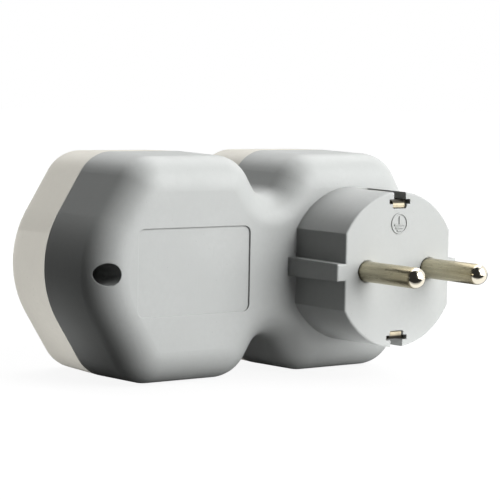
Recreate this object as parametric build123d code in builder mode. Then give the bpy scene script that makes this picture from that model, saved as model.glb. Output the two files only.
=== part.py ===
from build123d import *

import os
from math import radians, sin, tan

# Two-lobed plug-in mains adapter: a grey rear half with a moulded earthed plug on one lobe, and a
# white front half with an earthed socket in line with the plug and two USB outlets on the other lobe.
# Millimetres. +Z is up, the plug points to +Y, and the origin is the middle of the plug's face.

# Housing outline, the same for both halves at the seam
lobe_spacing = 44.6
slant_angle = 57.9
rim_flat = 0.51
point_radius = 23.6
corner_radius = 9.6
waist_radius = 3.6

# Housing depths, walls and edges
rear_depth = 22.6
front_depth = 18.6
draft_angle = 1.2
rear_edge_radius = 7.8
front_edge_radius = 5.4
wall = 2.2
lip_height = 1.6
lip_inset = 1.2
lip_clearance = 0.1

# Label recess on the rear of the charger lobe
recess_width = 31.0
recess_height = 19.9
recess_corner = 1.7
recess_depth = 0.35
recess_shift = 0.6

# Screws that hold the halves together, one at each end
screw_setback = 4.0
screw_diameter = 2.9
screw_length = 19.0
screw_head_diameter = 4.4
screw_head_height = 1.8
screw_head_seat = 12.6
screw_hole_diameter = 5.1
screw_clearance = 0.15
screw_head_rounding = 0.8
screw_drive_width = 0.8
screw_drive_length = 2.8
screw_drive_depth = 0.9
screw_tip_taper = 0.6
thread_clearance = 0.05
rear_boss_diameter = 6.8
front_boss_diameter = 6.2
screw_tip_room = 0.8

# Plug body
plug_reach = 18.0
plug_diameter = 36.4
plug_across_flats = 31.8
plug_draft = 0.6
plug_edge_radius = 0.4
guide_rib_span = 36.6
guide_rib_width = 4.0
plug_face_wall = 3.2
plug_room_height = 24.0
plug_room_corner = 4.0

# Plug pins
pin_diameter = 4.8
pin_length = 19.0
pin_spacing = 19.0
pin_boss_diameter = 8.4
pin_boss_depth = 8.5
rivet_diameter = 3.0
rivet_head_diameter = 4.4
rivet_head_height = 0.8
rivet_clearance = 0.05
pin_root_diameter = 4.2
pin_fit = 0.1
pin_hole_bevel = 0.5

# Pin contacts, each bent from one strip
strip_thickness = 0.8
contact_width = 7.0
contact_half_span = 3.1
contact_pinch = 2.75
contact_mouth_gap = 0.4
contact_flare_length = 4.0
contact_taper_length = 5.5
contact_bend = 1.0
contact_side_gap = 0.5

# Earth slots of the plug and the earth strips that run through to the socket
earth_strip_width = 6.0
earth_slot_clearance = 0.15
earth_slot_inset = 2.3
earth_notch_width = 3.6
earth_notch_length = 13.8
earth_pocket_width = 4.2
earth_pocket_drop = 1.2
earth_pocket_length = 3.0
earth_pocket_corner = 0.4
earth_strip_setback = 1.2
earth_curl_setback = 0.75
earth_curl_drop = 1.35
earth_curl_width = 3.5
earth_curl_length = 2.6
earth_bend = 0.9
earth_spring_setback = 0.5
earth_spring_press = 0.3
earth_spring_length = 6.5
earth_fold_gap = 0.8
earth_fold_drop = 2.0
earth_tail_drop = 2.2
earth_tail_gap = 1.5
earth_rise_gap = 4.5
earth_bridge_width = 5.0
earth_bridge_gap = 1.4
earth_bridge_foot = 3.4

# Socket well
well_diameter = 39.0
well_depth = 17.5
well_wall = 1.5
well_floor = 2.0
well_across_flats = 33.0
well_groove_inset = 0.5
well_groove_width = 5.0
well_lead_in = 0.5
socket_hole_diameter = 5.6
socket_hole_lead_in = 7.6
earth_window_clearance = 0.3
earth_window_height = 2.0
earth_window_setback = 4.0
earth_pad_height = 1.6
earth_pad_width = 10.0

# Charger board with two USB outlets, one above the other
usb_pitch = 14.0
usb_width = 13.4
usb_height = 6.0
usb_length = 15.0
usb_wall = 0.4
usb_corner = 0.6
usb_setback = 0.3
usb_window_clearance = 0.2
usb_tongue_width = 11.1
usb_tongue_thickness = 1.84
usb_tongue_length = 11.6
usb_tongue_rise = 0.7
usb_block_length = 3.4
usb_contact_width = 1.0
usb_contact_pitch = 2.3
usb_contact_thickness = 0.15
usb_contact_length = 8.5
usb_block_clearance = 0.05
board_width = 34.0
board_height = 30.0
board_thickness = 1.6
board_corner = 3.0
post_diameter = 4.2
post_peg_diameter = 2.0
post_peg_length = 2.4
post_clearance = 0.1
post_inset = 3.0

# Charger components, placed from the middle of the board as seen from the plug side
core_width = 13.0
core_height = 13.0
core_depth = 6.0
core_leg = 3.0
core_yoke = 2.0
coil_clearance = 0.1
coil_wrap = 2.6
coil_corner = 1.2
core_place = (6.5, 3.0)
input_capacitor_diameter = 8.0
input_capacitor_height = 12.5
input_capacitor_place = (-9.5, 7.5)
output_capacitor_diameter = 6.3
output_capacitor_height = 11.0
output_capacitor_place = (-9.5, -7.0)
capacitor_edge = 0.6
capacitor_groove = 0.5
capacitor_groove_rise = 1.6
rectifier_size = (6.4, 4.8, 2.6)
rectifier_place = (9.5, -8.5)
chip_size = (5.0, 4.0, 1.6)
chip_place = (-1.0, -10.0)
package_bevel = 0.3
resistor_diameter = 3.4
resistor_length = 9.0
resistor_place = (-3.0, 11.0)
resistor_edge = 0.9
disc_diameter = 7.5
disc_thickness = 3.4
disc_edge = 1.2
disc_place = (-1.5, -4.5)
disc_stand_off = 0.6
disc_lead_diameter = 0.7
disc_lead_pitch = 5.0

# Insulated leads from the pin contacts to the board
lead_diameter = 1.8
lead_bend = 3.0
lead_exit_depth = 23.0
lead_exit_run = 4.0
lead_crossing_depth = 29.0
lead_crossing_level = 8.0
lead_core_gap = 0.7
lead_pad_level = 6.0

# Outline sizes that follow from the socket well: each lobe is a hexagon round a circle with the same rim
well_groove_span = well_diameter - 2 * well_groove_inset
rim_width = well_lead_in + rim_flat + front_edge_radius + front_depth * tan(radians(draft_angle))
body_height = well_diameter + 2 * rim_width
lobe_point_width = body_height / sin(radians(slant_angle))
lobe_top_length = lobe_point_width - body_height / tan(radians(slant_angle))
screw_reach = well_groove_span / 2 + screw_setback

# Depths behind the plug's face
seam_depth = plug_reach + rear_depth
front_face_depth = seam_depth + front_depth
well_floor_depth = front_face_depth - well_depth
well_back_depth = well_floor_depth - well_floor
board_front_depth = front_face_depth - usb_setback - usb_length
board_back_depth = board_front_depth - board_thickness
cover_inside_depth = front_face_depth - wall
screw_seat_depth = plug_reach + screw_head_seat
screw_grip = seam_depth - screw_seat_depth
contact_web_depth = pin_boss_depth + strip_thickness / 2
contact_mouth_depth = well_back_depth - contact_mouth_gap
contact_pinch_depth = contact_mouth_depth - contact_flare_length
contact_shoulder_depth = contact_pinch_depth - contact_taper_length
earth_window_depth = front_face_depth - earth_window_setback
earth_fold_depth = earth_window_depth - earth_fold_gap
earth_grip_depth = earth_fold_depth - earth_spring_length
earth_tail_depth = well_floor_depth + earth_tail_gap
earth_rise_depth = well_back_depth - earth_rise_gap
earth_bridge_depth = plug_reach + wall + earth_bridge_gap + earth_bridge_foot

# Levels and sizes that follow from their neighbours
plug_room_width = pin_spacing + 2 * contact_half_span + strip_thickness + 2 * contact_side_gap
earth_slot_width = earth_strip_width + 2 * earth_slot_clearance
earth_slot_height = strip_thickness + 2 * earth_slot_clearance
earth_slot_level = plug_diameter / 2 - earth_slot_inset
earth_strip_inner_level = earth_slot_level - strip_thickness / 2
earth_spring_level = well_diameter / 2 + earth_spring_setback
earth_spring_grip = earth_slot_level + earth_spring_press
earth_tail_level = earth_spring_level - earth_tail_drop
earth_window_width = earth_strip_width + 2 * earth_window_clearance
earth_window_top = earth_spring_level + strip_thickness / 2 + earth_window_clearance
usb_inside_width = usb_width - 2 * (usb_wall + usb_block_clearance)
usb_inside_height = usb_height - 2 * (usb_wall + usb_block_clearance)
usb_contact_level = usb_tongue_rise - (usb_tongue_thickness + usb_contact_thickness) / 2
post_span = board_width - 2 * post_inset
post_rise = board_height - 2 * post_inset
core_window_width = (core_width - 2 * core_leg) / 2
core_window_height = core_height - 2 * core_yoke
lead_pad_reach = lobe_spacing - core_place[0] - core_width / 2 - lead_core_gap - lead_diameter / 2

os.makedirs("parts", exist_ok=True)


def facing_rear(depth):
    """Section plane seen from the plug side, with its local x along -X and its local y along +Z."""
    return Plane(origin=(0, -depth, 0), x_dir=(-1, 0, 0), z_dir=(0, 1, 0))


def facing_front(depth):
    """Section plane seen from the socket side, with its local x along +X and its local y along +Z."""
    return Plane(origin=(0, -depth, 0), x_dir=(1, 0, 0), z_dir=(0, -1, 0))


def charger_centre(plane):
    """Local x of the charger lobe's middle on a section plane."""
    return plane.x_dir.X * lobe_spacing


def screw_centres(plane):
    """Local centres of the two screws on a section plane."""
    return [(-plane.x_dir.X * screw_reach, 0), (plane.x_dir.X * (lobe_spacing + screw_reach), 0)]


def housing_outline(plane, inset=0.0):
    """Two rounded hexagons that run into each other at a waist, as one face."""
    half_top = lobe_top_length / 2
    half_width = lobe_point_width / 2
    half_height = body_height / 2
    hexagon = [
        (half_width, 0),
        (half_top, half_height),
        (-half_top, half_height),
        (-half_width, 0),
        (-half_top, -half_height),
        (half_top, -half_height),
    ]
    middle = charger_centre(plane) / 2
    with BuildSketch(plane) as outline:
        with Locations((0, 0), (charger_centre(plane), 0)):
            Polygon(*hexagon, align=None)
        waist = outline.vertices().filter_by_position(Axis.X, middle - waist_radius, middle + waist_radius)
        fillet(waist, waist_radius)
        fillet(outline.vertices().filter_by_position(Axis.Y, -waist_radius, waist_radius), point_radius)
        fillet(outline.vertices().group_by(Axis.Y)[0], corner_radius)
        fillet(outline.vertices().group_by(Axis.Y)[-1], corner_radius)
        if inset:
            offset(amount=-inset)
    return outline.sketch


def lobed_block(plane, depth, edge_radius, inset=0.0):
    """Drafted block on the housing outline with its far edge rounded, as the open part's first form."""
    extrude(housing_outline(plane, inset), amount=depth, taper=draft_angle)
    far_face = faces().sort_by(Axis(plane.origin, plane.z_dir))[-1]
    fillet(far_face.edges(), edge_radius)


# Room inside the rear half, kept clear of the screw and pin bosses
with BuildPart() as rear_room:
    lobed_block(facing_rear(seam_depth), rear_depth - wall, rear_edge_radius - wall, wall)
    with BuildSketch(facing_rear(plug_reach + 2 * wall)):
        RectangleRounded(plug_room_width, plug_room_height, plug_room_corner)
    extrude(amount=plug_reach + 2 * wall - plug_face_wall)
    extrude(housing_outline(facing_rear(seam_depth), lip_inset - lip_clearance), lip_height + lip_clearance)
    with BuildSketch(facing_rear(seam_depth)):
        with Locations(*screw_centres(facing_rear(seam_depth))):
            Circle(rear_boss_diameter / 2)
    extrude(amount=rear_depth, mode=Mode.SUBTRACT)
    with BuildSketch(facing_rear(pin_boss_depth)):
        with GridLocations(pin_spacing, 0, 2, 1):
            Circle(pin_boss_diameter / 2)
    extrude(amount=pin_boss_depth, mode=Mode.SUBTRACT)

# Rear half with the plug body moulded on
with BuildPart() as rear_housing:
    lobed_block(facing_rear(seam_depth), rear_depth, rear_edge_radius)
    with BuildSketch(facing_front(0)):
        Circle(plug_diameter / 2)
        Rectangle(plug_across_flats, plug_diameter, mode=Mode.INTERSECT)
        Rectangle(guide_rib_span, guide_rib_width)
    extrude(amount=plug_reach + wall / 2, taper=-plug_draft)
    plug_face = rear_housing.faces().sort_by(Axis.Y)[-1]
    fillet(plug_face.edges(), plug_edge_radius)
    add(rear_room.part, mode=Mode.SUBTRACT)
    with BuildSketch(facing_rear(plug_reach)):
        with Locations((charger_centre(facing_rear(0)) - recess_shift, 0)):
            RectangleRounded(recess_width, recess_height, recess_corner)
    extrude(amount=-recess_depth, mode=Mode.SUBTRACT)
    with BuildSketch(facing_front(0)):
        with GridLocations(pin_spacing, 0, 2, 1):
            Circle(pin_root_diameter / 2 + pin_fit)
    extrude(amount=pin_boss_depth, mode=Mode.SUBTRACT)
    plug_face = rear_housing.faces().sort_by(Axis.Y)[-1]
    chamfer(plug_face.inner_wires().edges(), pin_hole_bevel)
    for side in (1, -1):
        with BuildSketch(facing_front(0)):
            with Locations((0, side * earth_slot_level)):
                Rectangle(earth_slot_width, earth_slot_height)
        extrude(amount=plug_reach + 2 * wall, mode=Mode.SUBTRACT)
        with BuildSketch(facing_front(0)):
            with Locations((0, side * (earth_slot_level + plug_diameter / 4))):
                Rectangle(earth_notch_width, plug_diameter / 2)
        extrude(amount=earth_notch_length, mode=Mode.SUBTRACT)
        with BuildSketch(facing_front(0)):
            with Locations((0, side * (earth_slot_level - earth_pocket_drop / 2))):
                RectangleRounded(earth_pocket_width, earth_pocket_drop + strip_thickness, earth_pocket_corner)
        extrude(amount=earth_pocket_length, mode=Mode.SUBTRACT)
    with Locations(facing_rear(plug_reach)):
        with Locations(*screw_centres(facing_rear(0))):
            CounterBoreHole(
                screw_diameter / 2 + screw_clearance,
                screw_hole_diameter / 2,
                screw_head_seat,
                rear_depth,
            )
rear_housing.part.label = "rear_housing"
export_step(rear_housing.part, "parts/rear_housing.step")

# Room inside the front half, kept clear of the screw bosses
with BuildPart() as front_room:
    lobed_block(facing_front(seam_depth), front_depth - wall, front_edge_radius - wall, wall)
    with BuildSketch(facing_front(seam_depth)):
        with Locations(*screw_centres(facing_front(seam_depth))):
            Circle(front_boss_diameter / 2)
    extrude(amount=front_depth, mode=Mode.SUBTRACT)

# Front half with the socket well, the USB windows and the posts for the board
with BuildPart() as front_cover:
    lobed_block(facing_front(seam_depth), front_depth, front_edge_radius)
    add(front_room.part, mode=Mode.SUBTRACT)
    extrude(housing_outline(facing_rear(seam_depth), lip_inset), lip_height)
    extrude(housing_outline(facing_rear(seam_depth), wall), lip_height, mode=Mode.SUBTRACT)
    with BuildSketch(facing_front(well_back_depth)):
        Circle(well_diameter / 2 + well_wall)
        Rectangle(earth_pad_width, well_diameter + 2 * (well_wall + earth_pad_height))
    extrude(amount=cover_inside_depth + wall / 2 - well_back_depth)
    with BuildSketch(facing_rear(seam_depth)):
        with Locations(*screw_centres(facing_rear(seam_depth))):
            Circle(rear_boss_diameter / 2 + lip_clearance)
    extrude(amount=lip_height, mode=Mode.SUBTRACT)
    with BuildSketch(facing_front(front_face_depth)):
        Circle(well_diameter / 2)
        Rectangle(well_across_flats, well_diameter, mode=Mode.INTERSECT)
        Rectangle(well_groove_span, well_groove_width)
    extrude(amount=-well_depth, mode=Mode.SUBTRACT)
    front_face = front_cover.faces().sort_by(Axis.Y)[0]
    fillet(front_face.inner_wires()[0].edges(), well_lead_in)
    with Locations(facing_front(well_floor_depth)):
        with GridLocations(pin_spacing, 0, 2, 1):
            CounterSinkHole(socket_hole_diameter / 2, socket_hole_lead_in / 2, 2 * well_floor)
    for side in (1, -1):
        with BuildSketch(facing_front(well_back_depth)):
            with Locations((0, side * (earth_window_top - earth_window_height / 2))):
                Rectangle(earth_window_width, earth_window_height)
        extrude(amount=earth_window_depth - well_back_depth, mode=Mode.SUBTRACT)
    charger_plane = facing_front(board_front_depth)
    with BuildSketch(charger_plane):
        with Locations((charger_centre(charger_plane), 0)):
            with GridLocations(post_span, post_rise, 2, 2):
                Circle(post_diameter / 2)
    extrude(amount=cover_inside_depth + wall / 2 - board_front_depth)
    with BuildSketch(charger_plane):
        with Locations((charger_centre(charger_plane), 0)):
            with GridLocations(post_span, post_rise, 2, 2):
                Circle(post_peg_diameter / 2)
    extrude(amount=-post_peg_length)
    with BuildSketch(facing_front(cover_inside_depth)):
        with Locations((charger_centre(charger_plane), 0)):
            with GridLocations(0, usb_pitch, 1, 2):
                RectangleRounded(
                    usb_width + 2 * usb_window_clearance,
                    usb_height + 2 * usb_window_clearance,
                    usb_corner,
                )
    extrude(amount=2 * wall, mode=Mode.SUBTRACT)
    with BuildSketch(facing_front(seam_depth)):
        with Locations(*screw_centres(facing_front(seam_depth))):
            Circle(screw_diameter / 2 + thread_clearance)
    extrude(amount=screw_length - screw_grip + screw_tip_room, mode=Mode.SUBTRACT)
front_cover.part.label = "front_cover"
export_step(front_cover.part, "parts/front_cover.step")

# Screws, one group of two
with BuildPart() as housing_screws:
    head_plane = facing_rear(screw_seat_depth)
    with BuildSketch(head_plane):
        with Locations(*screw_centres(head_plane)):
            Circle(screw_diameter / 2)
    extrude(amount=-screw_length)
    chamfer(housing_screws.faces().group_by(Axis.Y)[0].edges(), screw_tip_taper)
    with BuildSketch(head_plane):
        with Locations(*screw_centres(head_plane)):
            Circle(screw_head_diameter / 2)
    extrude(amount=screw_head_height)
    fillet(housing_screws.faces().group_by(Axis.Y)[-1].edges(), screw_head_rounding)
    with BuildSketch(facing_rear(screw_seat_depth - screw_head_height)):
        with Locations(*screw_centres(head_plane)):
            Rectangle(screw_drive_length, screw_drive_width)
            Rectangle(screw_drive_width, screw_drive_length)
    extrude(amount=-screw_drive_depth, mode=Mode.SUBTRACT)
housing_screws.part.label = "housing_screws"
export_step(housing_screws.part, "parts/housing_screws.step")

# Plug pins, riveted to their contacts inside the plug
for name, side in (("line", 1), ("neutral", -1)):
    pin_axis = Axis((side * pin_spacing / 2, 0, 0), (0, 1, 0))
    with BuildPart() as pin:
        with BuildSketch(Plane(origin=pin_axis.position)):
            with BuildLine():
                tip = Line((0, -pin_boss_depth), (0, pin_length))
                RadiusArc(tip @ 1, (pin_diameter / 2, pin_length - pin_diameter / 2), pin_diameter / 2)
                Polyline(
                    (pin_diameter / 2, pin_length - pin_diameter / 2),
                    (pin_diameter / 2, 0),
                    (pin_root_diameter / 2, 0),
                    (pin_root_diameter / 2, -pin_boss_depth),
                    (rivet_diameter / 2, -pin_boss_depth),
                    (rivet_diameter / 2, -pin_boss_depth - strip_thickness),
                    (rivet_head_diameter / 2, -pin_boss_depth - strip_thickness),
                    (rivet_head_diameter / 2, -pin_boss_depth - strip_thickness - rivet_head_height),
                    (0, -pin_boss_depth - strip_thickness - rivet_head_height),
                    (0, -pin_boss_depth),
                )
            make_face()
        revolve(axis=pin_axis)
    pin.part.label = f"{name}_pin"
    export_step(pin.part, f"parts/{name}_pin.step")

    with BuildPart() as contact:
        with BuildSketch(Plane(origin=pin_axis.position)):
            with BuildLine():
                FilletPolyline(
                    (-contact_half_span, -contact_mouth_depth),
                    (-contact_pinch, -contact_pinch_depth),
                    (-contact_half_span, -contact_shoulder_depth),
                    (-contact_half_span, -contact_web_depth),
                    (contact_half_span, -contact_web_depth),
                    (contact_half_span, -contact_shoulder_depth),
                    (contact_pinch, -contact_pinch_depth),
                    (contact_half_span, -contact_mouth_depth),
                    radius=contact_bend,
                )
            trace(line_width=strip_thickness)
        extrude(amount=contact_width / 2, both=True)
        with BuildSketch(facing_front(pin_boss_depth)):
            with Locations((side * pin_spacing / 2, 0)):
                Circle(rivet_diameter / 2 + rivet_clearance)
        extrude(amount=strip_thickness, mode=Mode.SUBTRACT)
    contact.part.label = f"{name}_contact"
    export_step(contact.part, f"parts/{name}_contact.step")

# Earth strips: plug contact at one end, socket spring at the other, joined by a bridge
for name, side in (("upper", 1), ("lower", -1)):
    with BuildPart() as earth_strip:
        with BuildSketch(Plane.YZ):
            with BuildLine():
                FilletPolyline(
                    (-earth_strip_setback, side * earth_slot_level),
                    (-earth_bridge_depth - strip_thickness, side * earth_slot_level),
                    (-earth_rise_depth, side * earth_spring_level),
                    (-earth_fold_depth, side * earth_spring_level),
                    (-earth_fold_depth, side * (earth_spring_level - earth_fold_drop)),
                    (-earth_grip_depth, side * earth_spring_grip),
                    (-earth_tail_depth, side * earth_tail_level),
                    radius=earth_bend,
                )
            trace(line_width=strip_thickness)
        extrude(amount=earth_strip_width / 2, both=True)
        with BuildSketch(Plane.YZ):
            with BuildLine():
                FilletPolyline(
                    (-earth_curl_setback, side * (earth_slot_level - earth_curl_drop)),
                    (-earth_curl_setback, side * earth_slot_level),
                    (-earth_curl_setback - earth_curl_length, side * earth_slot_level),
                    radius=strip_thickness,
                )
            trace(line_width=strip_thickness)
        extrude(amount=earth_curl_width / 2, both=True)
    earth_strip.part.label = f"earth_strip_{name}"
    export_step(earth_strip.part, f"parts/earth_strip_{name}.step")

with BuildPart() as earth_bridge:
    foot_level = earth_strip_inner_level - strip_thickness / 2
    with BuildSketch(Plane.YZ):
        with BuildLine():
            FilletPolyline(
                (-earth_bridge_depth + earth_bridge_foot, foot_level),
                (-earth_bridge_depth, foot_level),
                (-earth_bridge_depth, -foot_level),
                (-earth_bridge_depth + earth_bridge_foot, -foot_level),
                radius=earth_bend,
            )
        trace(line_width=strip_thickness)
    extrude(amount=earth_bridge_width / 2, both=True)
earth_bridge.part.label = "earth_bridge"
export_step(earth_bridge.part, "parts/earth_bridge.step")

# Charger board on its pegs
with BuildPart() as charger_board:
    with BuildSketch(facing_front(board_back_depth)) as board_outline:
        with Locations((charger_centre(facing_front(0)), 0)):
            Rectangle(board_width, board_height)
        chamfer(board_outline.vertices(), board_corner)
        with Locations((charger_centre(facing_front(0)), 0)):
            with GridLocations(post_span, post_rise, 2, 2):
                Circle(post_peg_diameter / 2 + post_clearance, mode=Mode.SUBTRACT)
    extrude(amount=board_thickness)
charger_board.part.label = "charger_board"
export_step(charger_board.part, "parts/charger_board.step")

# USB outlets: a folded metal shell round a moulded block with a tongue
for name, side in (("upper", 1), ("lower", -1)):
    outlet_plane = facing_front(board_front_depth)
    outlet_centre = (charger_centre(outlet_plane), side * usb_pitch / 2)
    with BuildPart() as usb_shell:
        with BuildSketch(outlet_plane):
            with Locations(outlet_centre):
                RectangleRounded(usb_width, usb_height, usb_corner)
            offset(amount=-usb_wall, mode=Mode.SUBTRACT)
        extrude(amount=usb_length)
    usb_shell.part.label = f"usb_shell_{name}"
    export_step(usb_shell.part, f"parts/usb_shell_{name}.step")

    with BuildPart() as usb_tongue:
        with BuildSketch(outlet_plane):
            with Locations(outlet_centre):
                Rectangle(usb_inside_width, usb_inside_height)
        extrude(amount=usb_block_length)
        with BuildSketch(outlet_plane):
            with Locations(outlet_centre):
                with Locations((0, usb_tongue_rise)):
                    Rectangle(usb_tongue_width, usb_tongue_thickness)
        extrude(amount=usb_block_length + usb_tongue_length)
    usb_tongue.part.label = f"usb_tongue_{name}"
    export_step(usb_tongue.part, f"parts/usb_tongue_{name}.step")

with BuildPart() as usb_contacts:
    with BuildSketch(facing_front(board_front_depth + usb_block_length)):
        with Locations((charger_centre(facing_front(0)), usb_contact_level)):
            with GridLocations(usb_contact_pitch, usb_pitch, 4, 2):
                Rectangle(usb_contact_width, usb_contact_thickness)
    extrude(amount=usb_contact_length)
usb_contacts.part.label = "usb_contacts"
export_step(usb_contacts.part, "parts/usb_contacts.step")

# Charger components on the plug side of the board
board_side = Plane(origin=(lobe_spacing, -board_back_depth, 0), x_dir=(-1, 0, 0), z_dir=(0, 1, 0))

with BuildPart() as transformer_core:
    core_middle = board_side.from_local_coords((core_place[0], core_place[1], core_height / 2))
    with BuildSketch(Plane(origin=core_middle)):
        Rectangle(core_width, core_height)
        with GridLocations(core_leg + core_window_width, 0, 2, 1):
            Rectangle(core_window_width, core_window_height, mode=Mode.SUBTRACT)
    extrude(amount=core_depth / 2, both=True)
transformer_core.part.label = "transformer_core"
export_step(transformer_core.part, "parts/transformer_core.step")

with BuildPart() as transformer_coil:
    with BuildSketch(board_side.offset(core_yoke + coil_clearance)):
        with Locations(core_place):
            RectangleRounded(
                core_leg + 2 * (core_window_width - coil_clearance),
                core_depth + 2 * coil_wrap,
                coil_corner,
            )
            Rectangle(core_leg + 2 * coil_clearance, core_depth + 2 * coil_clearance, mode=Mode.SUBTRACT)
    extrude(amount=core_window_height - 2 * coil_clearance)
transformer_coil.part.label = "transformer_coil"
export_step(transformer_coil.part, "parts/transformer_coil.step")

for name, place, diameter, height in (
    ("input_capacitor", input_capacitor_place, input_capacitor_diameter, input_capacitor_height),
    ("output_capacitor", output_capacitor_place, output_capacitor_diameter, output_capacitor_height),
):
    with BuildPart() as capacitor:
        with BuildSketch(board_side):
            with Locations(place):
                Circle(diameter / 2)
        extrude(amount=height)
        fillet(capacitor.faces().sort_by(Axis.Y)[-1].edges(), capacitor_edge)
        with BuildSketch(board_side.offset(capacitor_groove_rise)):
            with Locations(place):
                Circle(diameter / 2)
                Circle(diameter / 2 - capacitor_groove, mode=Mode.SUBTRACT)
        extrude(amount=capacitor_groove, mode=Mode.SUBTRACT)
    capacitor.part.label = name
    export_step(capacitor.part, f"parts/{name}.step")

for name, place, size in (
    ("bridge_rectifier", rectifier_place, rectifier_size),
    ("switching_chip", chip_place, chip_size),
):
    with BuildPart() as package:
        with BuildSketch(board_side):
            with Locations(place):
                Rectangle(size[0], size[1])
        extrude(amount=size[2])
        chamfer(package.faces().sort_by(Axis.Y)[-1].edges(), package_bevel)
    package.part.label = name
    export_step(package.part, f"parts/{name}.step")

with BuildPart() as fuse_resistor:
    with BuildSketch(board_side):
        with Locations(resistor_place):
            Circle(resistor_diameter / 2)
    extrude(amount=resistor_length)
    fillet(fuse_resistor.faces().sort_by(Axis.Y)[-1].edges(), resistor_edge)
fuse_resistor.part.label = "fuse_resistor"
export_step(fuse_resistor.part, "parts/fuse_resistor.step")

with BuildPart() as safety_capacitor:
    disc_rise = disc_stand_off + disc_diameter / 2
    disc_middle = board_side.from_local_coords((disc_place[0], disc_place[1], disc_rise))
    with BuildSketch(Plane(origin=disc_middle)):
        Circle(disc_diameter / 2)
    extrude(amount=disc_thickness / 2, both=True)
    fillet(safety_capacitor.edges().filter_by(GeomType.CIRCLE), disc_edge)
    with BuildSketch(board_side):
        with Locations(disc_place):
            with GridLocations(disc_lead_pitch, 0, 2, 1):
                Circle(disc_lead_diameter / 2)
    extrude(amount=disc_rise)
safety_capacitor.part.label = "safety_capacitor"
export_step(safety_capacitor.part, "parts/safety_capacitor.step")

# Leads from the pin contacts to the board
line_route = [
    (pin_spacing / 2 + contact_half_span + strip_thickness / 2, -lead_exit_depth, 0),
    (pin_spacing / 2 + contact_half_span + lead_exit_run, -lead_exit_depth, 0),
    (lead_pad_reach, -lead_exit_depth, -lead_pad_level),
    (lead_pad_reach, -board_back_depth, -lead_pad_level),
]
neutral_route = [
    (contact_half_span - pin_spacing / 2, -lead_crossing_depth, contact_width / 2),
    (contact_half_span - pin_spacing / 2, -lead_crossing_depth, lead_crossing_level),
    (lead_pad_reach, -lead_crossing_depth, lead_pad_level),
    (lead_pad_reach, -board_back_depth, lead_pad_level),
]
for name, points in (("line", line_route), ("neutral", neutral_route)):
    with BuildPart() as lead:
        with BuildLine() as route:
            FilletPolyline(*points, radius=lead_bend)
        with BuildSketch(Plane(origin=route.line @ 0, z_dir=route.line % 0)):
            Circle(lead_diameter / 2)
        sweep(path=route.line)
    lead.part.label = f"{name}_lead"
    export_step(lead.part, f"parts/{name}_lead.step")
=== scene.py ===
"""Finishes, small relief and studio stage for a two-lobed plug-in mains adapter.

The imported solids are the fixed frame: every node keeps its shape and gets a procedural finish, and a few
thin pieces that are too fine for the solids are built on top of them. Metres, +Z up, plug towards +Y.
"""

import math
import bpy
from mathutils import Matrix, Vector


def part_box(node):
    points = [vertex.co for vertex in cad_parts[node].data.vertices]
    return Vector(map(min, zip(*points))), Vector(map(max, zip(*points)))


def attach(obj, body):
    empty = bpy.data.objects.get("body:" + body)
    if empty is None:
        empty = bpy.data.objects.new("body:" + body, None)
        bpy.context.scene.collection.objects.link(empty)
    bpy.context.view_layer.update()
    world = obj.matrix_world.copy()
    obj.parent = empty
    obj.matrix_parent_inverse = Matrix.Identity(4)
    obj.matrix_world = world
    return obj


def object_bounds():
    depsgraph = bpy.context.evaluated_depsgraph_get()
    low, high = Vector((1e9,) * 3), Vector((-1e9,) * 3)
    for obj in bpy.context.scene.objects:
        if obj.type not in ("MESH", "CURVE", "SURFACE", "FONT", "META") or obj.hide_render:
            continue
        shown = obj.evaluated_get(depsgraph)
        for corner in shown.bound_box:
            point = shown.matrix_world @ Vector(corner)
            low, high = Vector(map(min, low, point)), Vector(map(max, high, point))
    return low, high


bl_info = {
    "name": "Mains adapter finishes",
    "version": (1, 0, 0),
    "blender": (4, 5, 0),
    "location": "3D View > Sidebar > Adapter",
    "description": "Finishes, small relief and studio stage for a plug-in mains adapter with USB outlets",
    "category": "Object",
}

import bmesh
import bpy
from bpy.props import FloatProperty, FloatVectorProperty, PointerProperty
from bpy.types import Operator, Panel, PropertyGroup
from mathutils import Matrix, Vector

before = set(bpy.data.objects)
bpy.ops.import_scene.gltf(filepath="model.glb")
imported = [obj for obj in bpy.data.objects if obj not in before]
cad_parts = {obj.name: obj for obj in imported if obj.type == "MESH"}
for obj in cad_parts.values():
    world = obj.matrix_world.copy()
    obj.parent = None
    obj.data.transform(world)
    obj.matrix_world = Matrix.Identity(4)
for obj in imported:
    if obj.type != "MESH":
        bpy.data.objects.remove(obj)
cad_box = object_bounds()

MM = 0.001
FLOOR_LEVEL = cad_box[0][2]
USB_SHELLS = ("usb_shell_upper", "usb_shell_lower")

# Factors on the part's coordinates: a small one draws a pattern out along that axis.
EVEN_GRAIN = (1.0, 1.0, 1.0)
SHANK_STREAKS = (1.0, 0.07, 1.0)
SHANK_GRAIN = (1.0, 0.05, 1.0)
STRIP_GRAIN = (1.0, 0.06, 1.0)
USB_GRAIN = (1.0, 0.08, 1.0)
UPRIGHT_SCUFFS = (1.0, 1.0, 0.06)

# Mouldings: edge of a speck as a share of their spacing, edge of a scuff in its pattern, roughness, and the
# share of the light from one moulding that its neighbours don't get.
SPECK_EDGE = (0.035, 0.06)
SPECK_STRENGTH = 0.35
SCUFF_EDGE = (0.66, 0.74)
SATIN_ROUGHNESS = (0.40, 0.52)
HELD_BACK = 0.85
BEVEL_SAMPLES = 6

# Pins: widths and heights of their patterns, roughness, and the wear of the plating towards the tip.
STREAK_WIDTH = 0.9 * MM
DRAWN_WIDTH = 0.2 * MM
DRAWN_HEIGHT = 0.006 * MM
PIN_DENT_WIDTH = 0.5 * MM
PIN_DENT_HEIGHT = 0.008 * MM
SHANK_ROUGHNESS = (0.24, 0.38)
TIP_POLISH = 0.22
TIP_FADE = 0.06 * MM
WORN_START = 0.35
WORN_SHARE = 0.6

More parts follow.
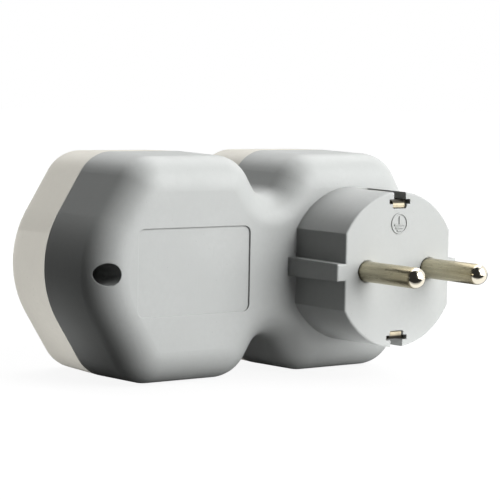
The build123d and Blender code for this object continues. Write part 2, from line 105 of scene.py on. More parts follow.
# Sheet metal: widths and heights of its patterns.
TARNISH_WIDTH = 2.2 * MM
ROLLED_WIDTH = 0.12 * MM
ROLLED_HEIGHT = 0.004 * MM
DENT_WIDTH = 0.8 * MM
DENT_HEIGHT = 0.010 * MM

# The earth strips' bend in the slot gets painted shade, near black, between these heights from the pins' line
# and these depths from the plug's face.
SLOT_SHADE_HEIGHTS = (15.35 * MM, 15.65 * MM)
SLOT_SHADE_DEPTHS = (-8.0 * MM, -5.0 * MM)
SLOT_SHADE_SHARE = 0.9

# Components: width of the clouds in their colour.
COMPONENT_CLOUDS = 1.8 * MM
# Roughness, width and height of the grain in millimetres.
TONGUE_FINISH = (0.42, 0.2, 0.006)
# Name, colour setting, roughness, width and height of the grain in millimetres, nodes.
COMPONENT_FINISHES = (
    ("laminate", "laminate", 0.35, 0.5, 0.010, ("charger_board",)),
    ("ferrite", "ferrite", 0.62, 0.12, 0.012, ("transformer_core",)),
    ("winding_tape", "tape", 0.34, 0.6, 0.015, ("transformer_coil",)),
    ("capacitor_sleeve", "sleeve", 0.28, 0.8, 0.008, ("input_capacitor", "output_capacitor")),
    ("package", "package", 0.55, 0.10, 0.008, ("bridge_rectifier", "switching_chip")),
    ("resistor_body", "resistor", 0.40, 0.4, 0.010, ("fuse_resistor",)),
    ("disc_body", "disc", 0.30, 0.7, 0.020, ("safety_capacitor",)),
    ("line_insulation", "line", 0.42, 0.5, 0.006, ("line_lead",)),
    ("neutral_insulation", "neutral", 0.42, 0.5, 0.006, ("neutral_lead",)),
)

# Leaf springs of the USB shells.
SHELL_WALL = 0.4 * MM
LEAF_THICKNESS = 0.25 * MM
LEAF_BITE = 0.05 * MM
LEAF_TAPER = 0.25
LEAF_STEPS = 16

# Earth sign: its foot lies inside the plug's face. The ends of the stem, and the width and level of the bars,
# are in radii of the ring.
SIGN_FOOT = -0.05 * MM
SIGN_SLOPE = 0.2
RING_POINTS = 64
STEM_ENDS = (-0.06, 0.68)
SIGN_BARS = ((1.28, -0.14), (0.94, -0.41), (0.58, -0.66))

# Lens and sensor in millimetres.
LENS = 144.0
SENSOR = 36.0
CLIP_START = 0.01
CLIP_END = 20.0
CAMERA_TARGET = Vector((43.35 * MM, 0.0, 6.2 * MM))

# Distance of the lamps, the point they face, and their widths and heights.
LAMP_REACH = 0.9
LAMP_TARGET = Vector((20 * MM, -20 * MM, 0.0))
LAMP_SIZES = {
    "softbox": (0.9, 0.9),
    "back_lamp": (1.0, 1.0),
    "front_lamp": (0.4, 0.4),
    "rim_lamp": (0.6, 1.8),
    "side_lamp": (1.0, 1.0),
}
# White cards on the floor.
CARD_LIFT = 0.2 * MM
PLUG_CARD_MIDDLE = (-4 * MM, 0.0)
PLUG_CARD_SIZE = (30 * MM, 15 * MM)
END_CARD_MIDDLE = (80 * MM, -42 * MM)
END_CARD_SIZE = (22 * MM, 16 * MM)

WHITE = (1.0, 1.0, 1.0, 1.0)
# Side of the room that metal mirrors as white, and how its edge fades.
WHITE_SIDE = Vector((-0.90, 0.40, 0.10)).normalized()
WHITE_SIDE_FADE = (0.10, 0.60)

FLOOR_HALF = 3.0
FLOOR_TONE = (0.15, 0.15, 0.15, 1.0)
# Tones with which the floor throws light at the object: dark past the charger lobe, pale below the plug.
DARK_TONE = (0.03, 0.03, 0.03)
PALE_TONE = (0.5, 0.5, 0.5)
PALE_FADE = (70 * MM, 20 * MM)
# Patch of the floor that metal mirrors as white: in front of the plug's face and up to a slanting line.
PATCH_START = (-10 * MM, 10 * MM)
PATCH_END = (45 * MM, 25 * MM)
PATCH_SLANT = (0.6, 0.8, 0.0)
# Glow that brings the floor to white for the camera, a little less near the object.
GLOW_FADE = (120 * MM, 500 * MM)
GLOW_LEVELS = (0.91, 1.0)


def colour_property(name, description, default):
    """Colour setting of a finish."""
    return FloatVectorProperty(
        name=name, description=description, default=default, subtype="COLOR", size=3, min=0.0, max=1.0
    )


def length_property(name, description, millimetres):
    """Length setting, given in millimetres."""
    return FloatProperty(
        name=name, description=description, default=millimetres * MM, unit="LENGTH", min=0.0, precision=5
    )


def angle_property(name, description, degrees):
    """Angle setting, given in degrees."""
    return FloatProperty(
        name=name, description=description, default=math.radians(degrees), subtype="ANGLE"
    )


def level_property(name, description, default):
    """Plain factor setting."""
    return FloatProperty(name=name, description=description, default=default, min=0.0)


class MouldingSettings(PropertyGroup):
    """Colours and grain of the two housing halves."""

    grey: colour_property("Rear half", "Colour of the grey moulding", (0.600, 0.618, 0.606))
    white: colour_property("Front half", "Colour of the warm white moulding", (0.860, 0.832, 0.750))
    clouds: length_property("Clouds", "Width of the faint flow clouds", 14.0)
    mottle: length_property("Mottle", "Width of the fine mottle", 1.1)
    specks: length_property("Specks", "Spacing of the specks", 2.6)
    patches: length_property("Patches", "Width of the duller and the shinier patches", 3.0)
    scuffs: length_property("Scuffs", "Width of the scuffs", 0.5)
    scuff_depth: length_property("Scuff depth", "Depth of the scuffs", 0.004)
    grain: length_property("Grain size", "Width of the moulded grain", 0.35)
    grain_depth: length_property("Grain depth", "Height of the moulded grain", 0.012)
    edge: length_property("Edge softness", "Rounding of the crisp moulded edges", 0.30)


class MetalSettings(PropertyGroup):
    """Colours of the metal parts."""

    nickel: colour_property("Pins", "Nickel plating of the plug pins", (0.480, 0.440, 0.320))
    brass: colour_property("Strips", "Brass of the contacts and the earth strips", (0.500, 0.445, 0.330))
    # Colour of the painted shade on the earth strips' bend in the slot, in place of its shade and dark
    # reflection.
    slot_shade: colour_property("Painted shade", "Dark ends of the earth strips", (0.020, 0.020, 0.018))
    zinc: colour_property("Screws", "Zinc plating of the housing screws", (0.520, 0.520, 0.500))
    steel: colour_property("USB shells", "Bright plated sheet steel", (0.620, 0.620, 0.610))
    gilt: colour_property("USB contacts", "Gold flash on the contacts", (0.830, 0.600, 0.220))
    worn: colour_property("Worn pins", "Plating rubbed thin towards the pin tips", (0.520, 0.440, 0.270))
    polish: colour_property("Pin tips", "Polished nickel of the domed tips", (0.900, 0.840, 0.700))
    polish_length: length_property("Polished tip", "Length of the polished, domed pin tip", 1.8)


class ChargerSettings(PropertyGroup):
    """Colours of the charger's board, components and leads."""

    laminate: colour_property("Board", "Lacquered laminate", (0.020, 0.120, 0.045))
    tongue: colour_property("USB tongues", "Moulded tongue and block", (0.012, 0.012, 0.014))
    ferrite: colour_property("Core", "Sintered ferrite", (0.030, 0.030, 0.033))
    tape: colour_property("Winding tape", "Tape round the coil", (0.660, 0.430, 0.030))
    sleeve: colour_property("Capacitor sleeves", "Shrunk sleeve", (0.010, 0.012, 0.020))
    package: colour_property("Packages", "Moulded component packages", (0.014, 0.014, 0.015))
    resistor: colour_property("Resistor", "Lacquered resistor body", (0.055, 0.190, 0.140))
    disc: colour_property("Disc capacitor", "Dipped disc", (0.030, 0.110, 0.330))
    line: colour_property("Line lead", "Brown insulation", (0.110, 0.035, 0.015))
    neutral: colour_property("Neutral lead", "Blue insulation", (0.020, 0.080, 0.360))


class EarthSignSettings(PropertyGroup):
    """Raised protective-earth sign on the plug's face."""

    diameter: length_property("Ring", "Outside of the ring", 5.0)
    stroke: length_property("Stroke", "Width of the raised lines", 0.42)
    relief: length_property("Relief", "Height of the raised lines", 0.20)
    level: length_property("Level", "Height of the sign's middle above the pins' line", 10.8)


class UsbSpringSettings(PropertyGroup):
    """Leaf springs stamped from the USB shells."""

    width: length_property("Width", "Width of a leaf", 2.0)
    length: length_property("Length", "Length of a leaf", 6.0)
    bow: length_property("Bow", "How far a leaf stands into the opening", 0.5)
    spacing: length_property("Spacing", "Distance between the two leaves of a wall", 5.6)
    setback: length_property("Setback", "Start of a leaf behind the shell's mouth", 2.0)


class StageSettings(PropertyGroup):
    """Camera and light. Directions are turned from the plug's axis towards the charger lobe."""

    azimuth: angle_property("Azimuth", "Camera direction", 37.0)
    elevation: angle_property("Elevation", "Camera height", 4.94)
    roll: angle_property("Roll", "Turn of the picture", 1.12)
    distance: length_property("Distance", "Camera distance from its target", 439.9)
    softbox_azimuth: angle_property("Softbox azimuth", "Softbox direction", -27.0)
    softbox_elevation: angle_property("Softbox elevation", "Softbox height", 25.0)
    softbox_level: level_property("Softbox level", "Light of the softbox beside the plug", 1.33)
    back_lamp_azimuth: angle_property("Back lamp azimuth", "Back lamp direction", -146.0)
    back_lamp_elevation: angle_property("Back lamp elevation", "Back lamp height", 60.0)
    back_lamp_level: level_property("Back lamp level", "Light of the lamp high behind the plug lobe", 0.79)
    front_lamp_azimuth: angle_property("Front lamp azimuth", "Front lamp direction", 180.0)
    front_lamp_elevation: angle_property("Front lamp elevation", "Front lamp height", 0.0)
    front_lamp_level: level_property("Front lamp level", "Light of the lamp in front of the socket", 0.55)
    rim_lamp_azimuth: angle_property("Rim lamp azimuth", "Rim lamp direction", 95.0)
    rim_lamp_elevation: angle_property("Rim lamp elevation", "Rim lamp height", -20.0)
    rim_lamp_level: level_property("Rim lamp level", "Light of the rim lamp on the white half", 1.21)
    side_lamp_azimuth: angle_property("Side lamp azimuth", "Side lamp direction", 126.0)
    side_lamp_elevation: angle_property("Side lamp elevation", "Side lamp height", -16.0)
    side_lamp_level: level_property("Side lamp level", "Light of the weak lamp behind the charger lobe", 0.05)
    plug_card_level: level_property("Plug card level", "Brightness of the white card under the plug", 1.7)
    end_card_level: level_property("End card level", "Brightness of the white card beside the end", 0.75)
    room_level: level_property("Room level", "Light of the dim room round the object", 0.03)


class ShaderTree:
    """Node tree of a finish, the floor or the room, with short calls for the nodes used here."""

    def __init__(self, owner, output, coordinates):
        owner.use_nodes = True
        self.tree = owner.node_tree
        self.tree.nodes.clear()
        self.surface = self.add(output).inputs["Surface"]
        self.place = self.add("ShaderNodeTexCoord").outputs[coordinates]

    def add(self, kind, **settings):
        """New node with its settings."""
        node = self.tree.nodes.new(kind)
        for key, value in settings.items():
            setattr(node, key, value)
        return node

    def link(self, output, socket):
        """Joins an output to an input."""
        self.tree.links.new(output, socket)

    def feed(self, socket, value):
        """Links a socket to an output, or writes a plain value on it."""
        if isinstance(value, bpy.types.NodeSocket):
            self.link(value, socket)
        else:
            socket.default_value = value

    def shader(self, kind, **values):
        """New shader node with values or links on its sockets."""
        node = self.add(kind)
        for socket, value in values.items():
            self.feed(node.inputs[socket], value)
        return node

    def math(self, operation, *values, clamp=False):
        """Sum, product or comparison of values."""
        node = self.add("ShaderNodeMath", operation=operation, use_clamp=clamp)
        for socket, value in zip(node.inputs, values):
            self.feed(socket, value)
        return node.outputs[0]

    def vector(self, operation, *other):
        """Outputs of a vector operation on the coordinates."""
        node = self.add("ShaderNodeVectorMath", operation=operation)
        for socket, value in zip(node.inputs, (self.place, *other)):
            self.feed(socket, value)
        return node.outputs

    def axis(self, letter):
        """One of the coordinates."""
        node = self.add("ShaderNodeSeparateXYZ")
        self.link(self.place, node.inputs[0])
        return node.outputs[letter]

    def range(self, value, low, high, to_low=0.0, to_high=1.0):
        """Value moved from one range to another, held at its ends."""
        node = self.add("ShaderNodeMapRange")
        self.link(value, node.inputs["Value"])
        for key, number in zip(("From Min", "From Max", "To Min", "To Max"), (low, high, to_low, to_high)):
            node.inputs[key].default_value = number
        return node.outputs["Result"]

    def tint(self, factor, first, second):
        """Colour between two colours."""
        node = self.add("ShaderNodeMix", data_type="RGBA")
        self.feed(node.inputs["Factor"], factor)
        for socket, colour in ((node.inputs[6], first), (node.inputs[7], second)):
            self.feed(socket, colour if isinstance(colour, bpy.types.NodeSocket) else (*colour, 1.0))
        return node.outputs[2]

    def rays(self, kind):
        """1 for the rays of a kind, and 0 for others."""
        return self.add("ShaderNodeLightPath").outputs[f"Is {kind} Ray"]

    def mirrored(self):
        """1 for the rays that leave a glossy or a clear surface, and 0 for others."""
        return self.math("MAXIMUM", self.rays("Glossy"), self.rays("Transmission"))

    def show(self, plain, white, patch):
        """Shows a white shader to the camera, and to mirrors in a patch, and a plain one to other rays."""
        mix = self.add("ShaderNodeMixShader")
        self.link(self.math("MULTIPLY_ADD", self.mirrored(), patch, self.rays("Camera")), mix.inputs[0])
        self.link(plain.outputs[0], mix.inputs[1])
        self.link(white.outputs[0], mix.inputs[2])
        self.link(mix.outputs[0], self.surface)


class Finish(ShaderTree):
    """Principled finish whose textures are laid out in the part's own coordinates."""

    def __init__(self, name, metallic=0.0):
        self.material = bpy.data.materials.new(name)
        super().__init__(self.material, "ShaderNodeOutputMaterial", "Object")
        self.principled = self.shader("ShaderNodeBsdfPrincipled", Metallic=metallic)
        self.link(self.principled.outputs["BSDF"], self.surface)
        self.body = None
        self.normal = None

    def noise(self, width, detail=2.0, rough=0.5, stretch=EVEN_GRAIN):
        """Cloudy pattern of a given width."""
        node = self.add("ShaderNodeTexNoise")
        self.link(self.vector("MULTIPLY", stretch)["Vector"], node.inputs["Vector"])
        node.inputs["Scale"].default_value = 1.0 / width
        node.inputs["Detail"].default_value = detail
        node.inputs["Roughness"].default_value = rough
        return node.outputs["Fac"]

    def cells(self, spacing):
        """Distance to scattered points of a given spacing."""
        node = self.add("ShaderNodeTexVoronoi")
        self.link(self.place, node.inputs["Vector"])
        node.inputs["Scale"].default_value = 1.0 / spacing
        return node.outputs["Distance"]

    def spread(self, pattern, half, to_low=0.0, to_high=1.0):
        """Cloudy pattern opened to a range, from half below its mean to half above it."""
        return self.range(pattern, 0.5 - half, 0.5 + half, to_low, to_high)

    def dimmed(self, colour, share):
        """Colour that passes on less of the light it throws on its neighbours."""
        thrown = self.math("MULTIPLY", self.rays("Diffuse"), share)
        return self.tint(thrown, colour, (0.0, 0.0, 0.0))

    def colour(self, value):
        """Sets the base colour."""
        self.body = value
        self.feed(self.principled.inputs["Base Color"], value)

    def roughness(self, value):
        """Sets the roughness."""
        self.feed(self.principled.inputs["Roughness"], value)

    def soften(self, radius):
        """Rounds crisp edges in the shading."""
        node = self.add("ShaderNodeBevel", samples=BEVEL_SAMPLES)
        node.inputs["Radius"].default_value = radius
        self.turn(node)

    def relief(self, pattern, height):
        """Bump of a given height on top of the bumps before it."""
        node = self.add("ShaderNodeBump")
        self.link(pattern, node.inputs["Height"])
        node.inputs["Distance"].default_value = height
        node.inputs["Strength"].default_value = 1.0
        if self.normal is not None:
            self.link(self.normal, node.inputs["Normal"])
        self.turn(node)

    def turn(self, node):
        """Takes the shading's normal from a node."""
        self.normal = node.outputs["Normal"]
        self.link(self.normal, self.principled.inputs["Normal"])


def shade(colour, factor):
    """A colour made lighter or darker."""
    return tuple(min(1.0, channel * factor) for channel in colour)


def dress(finish, *names):
    """Gives CAD nodes a finish in all their material slots."""
    for name in names:
        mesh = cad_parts[name].data
        mesh.materials.clear()
        mesh.materials.append(finish.material)


def moulded_finish(name, colour, settings):
    """Satin moulded plastic: spark-eroded grain, faint flow clouds, a few specks and scuffs."""
    finish = Finish(name)
    clouds = finish.spread(finish.noise(settings.clouds, detail=3.0), 0.15)
    body = finish.tint(clouds, shade(colour, 0.975), shade(colour, 1.015))
    mottle = finish.spread(finish.noise(settings.mottle), 0.15, to_high=0.5)
    body = finish.tint(mottle, body, shade(colour, 0.965))
    specks = finish.range(finish.cells(settings.specks), *SPECK_EDGE, SPECK_STRENGTH, 0.0)
    body = finish.tint(specks, body, shade(colour, 0.62))
    finish.colour(finish.dimmed(body, HELD_BACK))
    finish.roughness(finish.spread(finish.noise(settings.patches, detail=3.0), 0.2, *SATIN_ROUGHNESS))
    finish.soften(settings.edge)
    finish.relief(finish.noise(settings.grain, rough=0.55), settings.grain_depth)
    scuffs = finish.noise(settings.scuffs, detail=1.0, stretch=UPRIGHT_SCUFFS)
    finish.relief(finish.range(scuffs, *SCUFF_EDGE), -settings.scuff_depth)
    return finish


def pin_finish(settings):
    """Nickel-plated pin: satin shank drawn lengthwise, browner towards its polished tip."""
    finish = Finish("nickel_pin", metallic=1.0)
    length = finish.axis("Y")
    tip_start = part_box("line_pin")[1].y - settings.polish_length
    tip = finish.range(length, tip_start - TIP_FADE, tip_start + TIP_FADE)
    streaks = finish.spread(finish.noise(STREAK_WIDTH, stretch=SHANK_STREAKS), 0.18)
    shank = finish.tint(streaks, shade(settings.nickel, 0.82), shade(settings.nickel, 1.12))
    worn = finish.range(length, WORN_START * tip_start, tip_start, to_high=WORN_SHARE)
    shank = finish.tint(worn, shank, tuple(settings.worn))
    finish.colour(finish.tint(tip, shank, tuple(settings.polish)))
    drawn = finish.noise(DRAWN_WIDTH, stretch=SHANK_GRAIN)
    satin = finish.spread(drawn, 0.2, *SHANK_ROUGHNESS)
    polish = finish.math("MULTIPLY", tip, TIP_POLISH)
    finish.roughness(finish.math("SUBTRACT", satin, polish, clamp=True))
    finish.relief(drawn, DRAWN_HEIGHT)
    finish.relief(finish.noise(PIN_DENT_WIDTH, detail=3.0), PIN_DENT_HEIGHT)
    return finish


def sheet_finish(name, colour, rough, grain):
    """Stamped sheet metal with rolling marks, faint tarnish and small dents."""
    finish = Finish(name, metallic=1.0)
    tarnish = finish.spread(finish.noise(TARNISH_WIDTH, detail=4.0, rough=0.6), 0.2)
    finish.colour(finish.tint(tarnish, shade(colour, 0.82), shade(colour, 1.08)))
    rolled = finish.noise(ROLLED_WIDTH, stretch=grain)
    finish.roughness(finish.spread(rolled, 0.2, rough - 0.06, rough + 0.10))
    finish.relief(rolled, ROLLED_HEIGHT)
    finish.relief(finish.noise(DENT_WIDTH), DENT_HEIGHT)
    return finish


def dipped_finish(name, colour, rough, grain, height):
    """Moulded, dipped, sintered or drawn body of a component, its grain given in millimetres."""
    finish = Finish(name)
    clouds = finish.spread(finish.noise(COMPONENT_CLOUDS, detail=3.0), 0.2)
    finish.colour(finish.tint(clouds, shade(colour, 0.80), shade(colour, 1.20)))
    texture = finish.noise(grain * MM, detail=3.0)
    finish.roughness(finish.spread(texture, 0.2, rough - 0.06, rough + 0.08))
    finish.relief(texture, height * MM)
    return finish


def new_piece(name, build, finish):
    """Adds a piece from a bmesh, rides it on the part and notes the finish it takes."""
    bmesh.ops.recalc_face_normals(build, faces=build.faces)
    mesh = bpy.data.meshes.new(name)
    build.to_mesh(mesh)
    build.free()
    piece = bpy.data.objects.new(name, mesh)
    bpy.context.scene.collection.objects.link(piece)
    mesh.materials.append(finish.material)
    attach(piece, "root")


def new_loop(build, points):
    """Adds the points of a closed loop."""
    return [build.verts.new(point) for point in points]


def join_loops(build, first, second):
    """Adds the faces between two closed loops."""
    count = len(first)
    for i in range(count):
        j = (i + 1) % count
        build.faces.new((first[i], first[j], second[j], second[i]))


class ADAPTER_OT_mouldings(Operator):
    """Finish the grey rear half and the white front half"""

    bl_idname = "adapter.mouldings"
    bl_label = "Housing halves"

    def execute(self, context):
        settings = context.scene.adapter_mouldings
        dress(moulded_finish("grey_moulding", tuple(settings.grey), settings), "rear_housing")
        dress(moulded_finish("white_moulding", tuple(settings.white), settings), "front_cover")
        return {"FINISHED"}


class ADAPTER_OT_pins(Operator):
    """Finish the two plug pins"""

    bl_idname = "adapter.pins"
    bl_label = "Plug pins"

    def execute(self, context):
        dress(pin_finish(context.scene.adapter_metals), "line_pin", "neutral_pin")
        return {"FINISHED"}


class ADAPTER_OT_strips(Operator):
    """Finish the brass contacts, the earth strips and their bridge"""

    bl_idname = "adapter.strips"
    bl_label = "Brass strips"

    def execute(self, context):
        metals = context.scene.adapter_metals
        brass = tuple(metals.brass)
        finish = sheet_finish("brass_strip", brass, rough=0.46, grain=STRIP_GRAIN)
        dress(finish, "line_contact", "neutral_contact", "earth_bridge")
        finish = sheet_finish("earth_strip", brass, rough=0.52, grain=STRIP_GRAIN)
        # Painted shade: the strips darken to near black at their bend in the slot, in place of the shade and
        # dark reflection there.
        outside = finish.math("ABSOLUTE", finish.axis("Z"))
        outside = finish.range(outside, *SLOT_SHADE_HEIGHTS, to_high=SLOT_SHADE_SHARE)
        plug_end = finish.range(finish.axis("Y"), *SLOT_SHADE_DEPTHS)
        dark = finish.math("MULTIPLY", outside, plug_end)
        finish.colour(finish.tint(dark, finish.body, tuple(metals.slot_shade)))
        dress(finish, "earth_strip_upper", "earth_strip_lower")
        return {"FINISHED"}


class ADAPTER_OT_screws(Operator):
    """Finish the housing screws"""

    bl_idname = "adapter.screws"
    bl_label = "Housing screws"

    def execute(self, context):
        zinc = tuple(context.scene.adapter_metals.zinc)
        dress(sheet_finish("zinc_screw", zinc, rough=0.36, grain=EVEN_GRAIN), "housing_screws")
        return {"FINISHED"}


class ADAPTER_OT_usb_outlets(Operator):
    """Finish the USB shells, tongues and contacts, and add the leaf springs of the shells"""

    bl_idname = "adapter.usb_outlets"
    bl_label = "USB outlets"

    def execute(self, context):
        metals = context.scene.adapter_metals
        steel = sheet_finish("usb_sheet", tuple(metals.steel), rough=0.24, grain=USB_GRAIN)
        dress(steel, *USB_SHELLS)
        tongue = tuple(context.scene.adapter_charger.tongue)
        dress(dipped_finish("usb_tongue", tongue, *TONGUE_FINISH), "usb_tongue_upper", "usb_tongue_lower")
        gilt = tuple(metals.gilt)
        dress(sheet_finish("usb_gilt", gilt, rough=0.22, grain=USB_GRAIN), "usb_contacts")
        for shell in USB_SHELLS:
            build = bmesh.new()
            self.leaves(build, shell, context.scene.adapter_springs)
            new_piece(shell.replace("shell", "springs"), build, steel)
        return {"FINISHED"}

    @staticmethod
    def leaves(build, shell, springs):
        """Two bowed leaves on the upper wall and two on the lower wall of a shell."""
        low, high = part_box(shell)
        middle = (low.x + high.x) / 2
        for direction, level in ((-1, high.z - SHELL_WALL), (1, low.z + SHELL_WALL)):
            for x in (middle - springs.spacing / 2, middle + springs.spacing / 2):
                rows = []
                for i in range(LEAF_STEPS + 1):
                    along = i / LEAF_STEPS
                    lift = springs.bow * math.sin(math.pi * along) ** 1.5
                    half = springs.width / 2 * (1.0 - LEAF_TAPER * along)
                    y = low.y + springs.setback + springs.length * along
                    inner = level + direction * (lift + LEAF_THICKNESS)
                    outer = level + direction * (lift - LEAF_BITE)
                    corners = ((x - half, inner), (x + half, inner), (x + half, outer), (x - half, outer))
                    rows.append(new_loop(build, [(cx, y, cz) for cx, cz in corners]))
                for first, second in zip(rows, rows[1:]):
                    join_loops(build, first, second)
                build.faces.new(rows[0])
                build.faces.new(list(reversed(rows[-1])))


class ADAPTER_OT_charger(Operator):
    """Finish the charger board, its components and the leads"""

    bl_idname = "adapter.charger"
    bl_label = "Charger"

    def execute(self, context):
        colours = context.scene.adapter_charger
        for name, setting, rough, grain, height, nodes in COMPONENT_FINISHES:
            dress(dipped_finish(name, tuple(getattr(colours, setting)), rough, grain, height), *nodes)
        return {"FINISHED"}


class ADAPTER_OT_earth_sign(Operator):
    """Add the raised protective-earth sign on the plug's face"""

    bl_idname = "adapter.earth_sign"
    bl_label = "Earth sign"

    def execute(self, context):
        sign = context.scene.adapter_sign
        mouldings = context.scene.adapter_mouldings
        finish = moulded_finish("grey_relief", tuple(mouldings.grey), mouldings)
        build = bmesh.new()
        self.ring(build, sign)
        radius = sign.diameter / 2
        half = sign.stroke / 2
        self.bar(build, sign, half, STEM_ENDS[0] * radius, STEM_ENDS[1] * radius)
        for width, level in SIGN_BARS:
            self.bar(build, sign, width * radius / 2, level * radius - half, level * radius + half)
        new_piece("earth_sign", build, finish)
        return {"FINISHED"}

    @staticmethod
    def ring(build, sign):
        """Raised ring with sloping sides."""
        outside = sign.diameter / 2
        inside = outside - sign.stroke
        inset = SIGN_SLOPE * sign.stroke

        def circle(radius, y):
            turns = (2 * math.pi * i / RING_POINTS for i in range(RING_POINTS))
            return new_loop(
                build, [(radius * math.cos(t), y, sign.level + radius * math.sin(t)) for t in turns]
            )

        low_outside = circle(outside, SIGN_FOOT)
        low_inside = circle(inside, SIGN_FOOT)
        high_outside = circle(outside - inset, sign.relief)
        high_inside = circle(inside + inset, sign.relief)
        loops = (low_outside, high_outside, high_inside, low_inside, low_outside)
        for first, second in zip(loops, loops[1:]):
            join_loops(build, first, second)

    @staticmethod
    def bar(build, sign, half, bottom, top):
        """Raised bar with sloping sides, half its width on each side of the sign's middle."""

        def outline(inset, y):
            left = inset - half
            right = half - inset
            low = sign.level + bottom + inset
            high = sign.level + top - inset
            return new_loop(build, [(left, y, low), (right, y, low), (right, y, high), (left, y, high)])

        foot = outline(0.0, SIGN_FOOT)
        crest = outline(SIGN_SLOPE * sign.stroke, sign.relief)
        join_loops(build, foot, crest)
        build.faces.new(crest)
        build.faces.new(list(reversed(foot)))


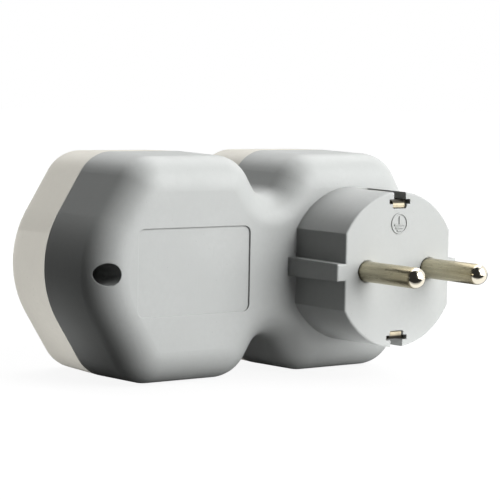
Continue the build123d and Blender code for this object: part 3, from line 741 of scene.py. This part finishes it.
class ADAPTER_OT_stage(Operator):
    """Set up the camera, the lamps, the white room and the floor"""

    bl_idname = "adapter.stage"
    bl_label = "Studio stage"

    def execute(self, context):
        settings = context.scene.adapter_stage
        context.scene.view_settings.view_transform = "Standard"
        self.camera(context, settings)
        self.lamps(context, settings)
        self.room(context, settings)
        self.floor(context)
        return {"FINISHED"}

    @staticmethod
    def direction(azimuth, elevation):
        """Unit vector at an angle from the plug's axis and a height."""
        level = math.cos(elevation)
        return Vector((math.sin(azimuth) * level, math.cos(azimuth) * level, math.sin(elevation)))

    def camera(self, context, settings):
        """Camera at the photograph's place, turned about its own axis by the roll."""
        data = bpy.data.cameras.new("camera")
        data.lens = LENS
        data.sensor_width = SENSOR
        data.clip_start = CLIP_START
        data.clip_end = CLIP_END
        camera = bpy.data.objects.new("camera", data)
        context.scene.collection.objects.link(camera)
        back = self.direction(settings.azimuth, settings.elevation)
        level_right = Vector((0.0, 0.0, 1.0)).cross(back).normalized()
        level_up = back.cross(level_right)
        right = level_right * math.cos(settings.roll) + level_up * math.sin(settings.roll)
        up = level_up * math.cos(settings.roll) - level_right * math.sin(settings.roll)
        turn = Matrix((right, up, back)).transposed().to_4x4()
        camera.matrix_world = Matrix.Translation(CAMERA_TARGET + settings.distance * back) @ turn
        context.scene.camera = camera

    @staticmethod
    def area_light(context, name, size, energy):
        """New rectangular lamp."""
        data = bpy.data.lights.new(name, "AREA")
        data.shape = "RECTANGLE"
        data.size, data.size_y = size
        data.energy = energy
        lamp = bpy.data.objects.new(name, data)
        context.scene.collection.objects.link(lamp)
        return lamp

    def lamp(self, context, settings, name, size):
        """Soft lamp that faces the object; at level 1 a colour facing it shows about as written."""
        level = getattr(settings, f"{name}_level")
        lamp = self.area_light(context, name, size, level * (math.pi * LAMP_REACH) ** 2)
        azimuth = getattr(settings, f"{name}_azimuth")
        elevation = getattr(settings, f"{name}_elevation")
        away = self.direction(azimuth, elevation)
        lamp.location = LAMP_TARGET + LAMP_REACH * away
        lamp.rotation_euler = away.to_track_quat("Z", "Y").to_euler()
        return lamp

    def card(self, context, name, middle, size, level):
        """White card on the floor that throws light up at the undersides above it."""
        card = self.area_light(context, name, size, level * math.pi * size[0] * size[1])
        card.location = (*middle, FLOOR_LEVEL + CARD_LIFT)
        card.rotation_euler.x = math.pi
        card.visible_camera = False
        card.visible_glossy = False

    def lamps(self, context, settings):
        """Soft lamps round the object, one of them on the white half alone, and two cards on the floor."""
        lamps = {name: self.lamp(context, settings, name, size) for name, size in LAMP_SIZES.items()}
        lamps["front_lamp"].visible_glossy = False
        white_half = bpy.data.collections.new("white_half")
        white_half.objects.link(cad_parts["front_cover"])
        lamps["rim_lamp"].light_linking.receiver_collection = white_half
        self.card(context, "plug_card", PLUG_CARD_MIDDLE, PLUG_CARD_SIZE, settings.plug_card_level)
        self.card(context, "end_card", END_CARD_MIDDLE, END_CARD_SIZE, settings.end_card_level)

    @staticmethod
    def room(context, settings):
        """Dim room that is white to the camera, and on one side to mirrors."""
        world = bpy.data.worlds.new("studio")
        context.scene.world = world
        nodes = ShaderTree(world, "ShaderNodeOutputWorld", "Generated")
        white_side = nodes.range(nodes.vector("DOT_PRODUCT", WHITE_SIDE)["Value"], *WHITE_SIDE_FADE)
        dim = nodes.shader("ShaderNodeBackground", Color=WHITE, Strength=settings.room_level)
        white = nodes.shader("ShaderNodeBackground", Color=WHITE)
        nodes.show(dim, white, white_side)

    @staticmethod
    def floor(context):
        """Plain pale floor that shows white and keeps a faint shadow."""
        build = bmesh.new()
        bmesh.ops.create_grid(build, x_segments=1, y_segments=1, size=FLOOR_HALF)
        mesh = bpy.data.meshes.new("floor")
        build.to_mesh(mesh)
        build.free()
        floor = bpy.data.objects.new("floor", mesh)
        floor.location.z = FLOOR_LEVEL
        floor.visible_shadow = False
        context.scene.collection.objects.link(floor)
        material = bpy.data.materials.new("pale_floor")
        material.cycles.emission_sampling = "NONE"
        nodes = ShaderTree(material, "ShaderNodeOutputMaterial", "Object")
        thrown = nodes.range(nodes.axis("X"), *PALE_FADE)
        thrown = nodes.math("SUBTRACT", thrown, nodes.mirrored(), clamp=True)
        dim = nodes.shader("ShaderNodeBsdfDiffuse", Color=nodes.tint(thrown, DARK_TONE, PALE_TONE))
        pale = nodes.shader("ShaderNodeBsdfDiffuse", Color=FLOOR_TONE)
        brightness = nodes.range(nodes.vector("LENGTH")["Value"], *GLOW_FADE, *GLOW_LEVELS)
        glow = nodes.shader("ShaderNodeEmission", Strength=brightness)
        white = nodes.add("ShaderNodeAddShader")
        nodes.link(pale.outputs[0], white.inputs[0])
        nodes.link(glow.outputs[0], white.inputs[1])
        start = nodes.range(nodes.axis("Y"), *PATCH_START)
        end = nodes.range(nodes.vector("DOT_PRODUCT", PATCH_SLANT)["Value"], *PATCH_END)
        nodes.show(dim, white, nodes.math("MULTIPLY", start, end))
        mesh.materials.append(material)


SETTINGS = (
    ("adapter_mouldings", MouldingSettings),
    ("adapter_metals", MetalSettings),
    ("adapter_charger", ChargerSettings),
    ("adapter_sign", EarthSignSettings),
    ("adapter_springs", UsbSpringSettings),
    ("adapter_stage", StageSettings),
)
OPERATORS = (
    ADAPTER_OT_mouldings,
    ADAPTER_OT_pins,
    ADAPTER_OT_strips,
    ADAPTER_OT_screws,
    ADAPTER_OT_usb_outlets,
    ADAPTER_OT_charger,
    ADAPTER_OT_earth_sign,
    ADAPTER_OT_stage,
)


class ADAPTER_PT_panel(Panel):
    """Sidebar panel with the settings and the steps of the adapter's looks"""

    bl_idname = "ADAPTER_PT_panel"
    bl_label = "Mains adapter"
    bl_space_type = "VIEW_3D"
    bl_region_type = "UI"
    bl_category = "Adapter"

    def draw(self, context):
        for name, group in SETTINGS:
            box = self.layout.box()
            settings = getattr(context.scene, name)
            for key in group.__annotations__:
                box.prop(settings, key)
        for operator in OPERATORS:
            self.layout.operator(operator.bl_idname)


def register():
    for name, group in SETTINGS:
        bpy.utils.register_class(group)
        setattr(bpy.types.Scene, name, PointerProperty(type=group))
    for operator in OPERATORS:
        bpy.utils.register_class(operator)
    bpy.utils.register_class(ADAPTER_PT_panel)


def unregister():
    bpy.utils.unregister_class(ADAPTER_PT_panel)
    for operator in reversed(OPERATORS):
        bpy.utils.unregister_class(operator)
    for name, group in reversed(SETTINGS):
        delattr(bpy.types.Scene, name)
        bpy.utils.unregister_class(group)


def main():
    register()
    bpy.ops.adapter.mouldings()
    bpy.ops.adapter.pins()
    bpy.ops.adapter.strips()
    bpy.ops.adapter.screws()
    bpy.ops.adapter.usb_outlets()
    bpy.ops.adapter.charger()
    bpy.ops.adapter.earth_sign()
    bpy.ops.adapter.stage()


if __name__ == "__main__":
    main()
